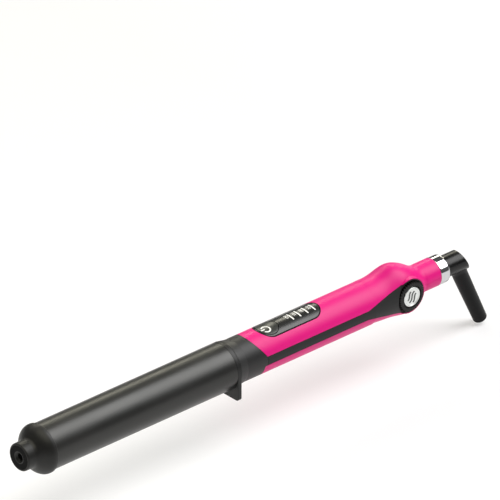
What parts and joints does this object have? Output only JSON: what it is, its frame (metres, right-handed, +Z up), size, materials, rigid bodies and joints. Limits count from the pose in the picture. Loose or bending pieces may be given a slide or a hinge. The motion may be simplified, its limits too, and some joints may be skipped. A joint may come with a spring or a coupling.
{
  "type": "curling iron",
  "caption": "Clipless hair curling wand: coated barrel with a cool tip, flanged stand foot, slim handle with button panel, side temperature dial and swivelling cord guard.",
  "frame": {"origin": "centre of the stand foot's bottom face", "axes": "+Z up, +X along the wand from the cool tip to the cord end, the dial is on the -Y side"},
  "size_m": [0.3972, 0.034, 0.0706],
  "materials": {
    "tip_black": "matte moulded heat-proof plastic",
    "barrel_coating": "dark grey satin coating",
    "steel": "plain steel",
    "aluminium": "plain",
    "ceramic": "ceramic, plain",
    "insulator": "moulded",
    "collar_black": "matte moulded plastic",
    "pink_shell": "satin magenta-pink",
    "strip_black": "fine matte",
    "panel_gloss": "gloss",
    "button_dark": "satin",
    "board_green": "plain",
    "lamp_lens": "clear",
    "capacitor_case": "moulded",
    "dial_black": "moulded, knurled",
    "badge_silver": "satin silver",
    "chrome": "mirror",
    "brass": "plain",
    "elbow_black": "satin",
    "guard_black": "soft matte",
    "lead_white": "plain"
  },
  "bodies": {
    "root": {"cool_tip": "tip_black", "tip_screw": "steel", "barrel_tube": "barrel_coating", "heat_spreader_upper": "aluminium", "heat_spreader_lower": "aluminium", "heater_plates": "ceramic", "temperature_sensor": "ceramic", "thermal_fuse": "steel", "barrel_insulator": "insulator", "stand_flange": "collar_black", "front_collar": "collar_black", "upper_shell": "pink_shell", "lower_shell": "pink_shell", "side_strip_left": "strip_black", "side_strip_right": "strip_black", "control_panel": "panel_gloss", "tactile_switch": "insulator", "control_board": "board_green", "indicator_leds": "lamp_lens", "power_triac": "insulator", "mains_capacitor": "capacitor_case", "microcontroller": "insulator", "dial_encoder": "insulator", "chrome_ring": "chrome", "swivel_socket": "insulator", "contact_brushes": "brass", "shell_screws": "steel", "heater_leads": "lead_white", "supply_leads": "lead_white"},
    "button": {"power_button": "button_dark"},
    "dial": {"dial_wheel": "dial_black", "dial_badge": "badge_silver", "dial_clip": "steel"},
    "swivel": {"swivel_spindle": "insulator", "slip_rings": "brass", "swivel_clip": "steel", "swivel_elbow": "elbow_black", "cord_guard": "guard_black"}
  },
  "joints": [
    {"name": "power_press", "type": "slide", "parent": "root", "child": "button", "axis": [0, 0, -1], "range_m": [0, 0.0005], "stiffness_N_per_m": 800},
    {"name": "dial_turn", "type": "hinge", "parent": "root", "child": "dial", "pos_m": [0.1479, -0.0129, 0.019], "axis": [0, -1, 0], "range_deg": [-270, 0]},
    {"name": "cord_swivel", "type": "hinge", "parent": "root", "child": "swivel", "pos_m": [0.1981, 0, 0.019], "axis": [1, 0, 0], "continuous": true}
  ]
}
